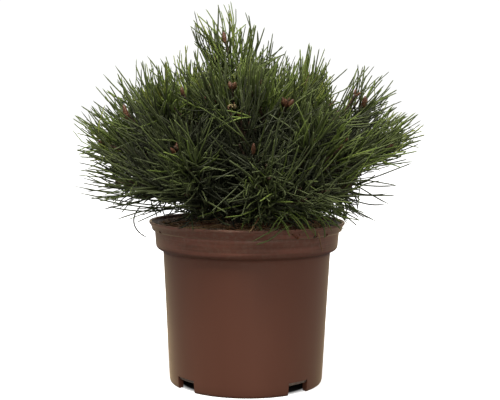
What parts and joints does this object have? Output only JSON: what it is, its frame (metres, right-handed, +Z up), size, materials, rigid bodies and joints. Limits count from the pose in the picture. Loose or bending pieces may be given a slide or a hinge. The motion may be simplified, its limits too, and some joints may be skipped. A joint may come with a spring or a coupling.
{
  "type": "mugo pine in a nursery pot",
  "caption": "Low bushy pine with a short stem, upswept boughs and dense tufts of long needles, rooted in a round tapered nursery pot with a deep rim band and drain notches.",
  "frame": {"origin": "centre of the pot's flat underside, on the ground", "axes": "+Z up along the pot's axis, the side seen in the picture towards -Y, +X to that side's right"},
  "size_m": [0.3451, 0.3084, 0.368],
  "materials": {
    "pot_plastic": "moulded, softly glossy terracotta-brown polypropylene",
    "compost": "loose peat and bark fines",
    "bark": "rough scaly bark",
    "needles": "waxy deep green needles"
  },
  "bodies": {
    "root": {"bough_leader": "bark", "bough_left": "bark", "bough_left_low": "bark", "bough_middle_back": "bark", "bough_middle_back_left": "bark", "bough_middle_back_right": "bark", "bough_middle_front": "bark", "bough_middle_front_left": "bark", "bough_middle_front_right": "bark", "bough_right": "bark", "bough_right_low": "bark", "bough_skirt_back": "bark", "bough_skirt_back_left": "bark", "bough_skirt_back_right": "bark", "bough_skirt_front": "bark", "bough_skirt_front_left": "bark", "bough_skirt_front_right": "bark", "bough_skirt_left": "bark", "bough_skirt_right": "bark", "bough_upper_back_left": "bark", "bough_upper_back_right": "bark", "bough_upper_front": "bark", "bough_upper_front_right": "bark", "bough_upper_left": "bark", "bough_upper_right": "bark", "foliage_leader": "needles", "foliage_left": "needles", "foliage_left_low": "needles", "foliage_middle_back": "needles", "foliage_middle_back_left": "needles", "foliage_middle_back_right": "needles", "foliage_middle_front": "needles", "foliage_middle_front_left": "needles", "foliage_middle_front_right": "needles", "foliage_right": "needles", "foliage_right_low": "needles", "foliage_skirt_back": "needles", "foliage_skirt_back_left": "needles", "foliage_skirt_back_right": "needles", "foliage_skirt_front": "needles", "foliage_skirt_front_left": "needles", "foliage_skirt_front_right": "needles", "foliage_skirt_left": "needles", "foliage_skirt_right": "needles", "foliage_upper_back_left": "needles", "foliage_upper_back_right": "needles", "foliage_upper_front": "needles", "foliage_upper_front_right": "needles", "foliage_upper_left": "needles", "foliage_upper_right": "needles", "pot": "pot_plastic", "root_ball": "compost", "trunk": "bark"}
  },
  "joints": []
}
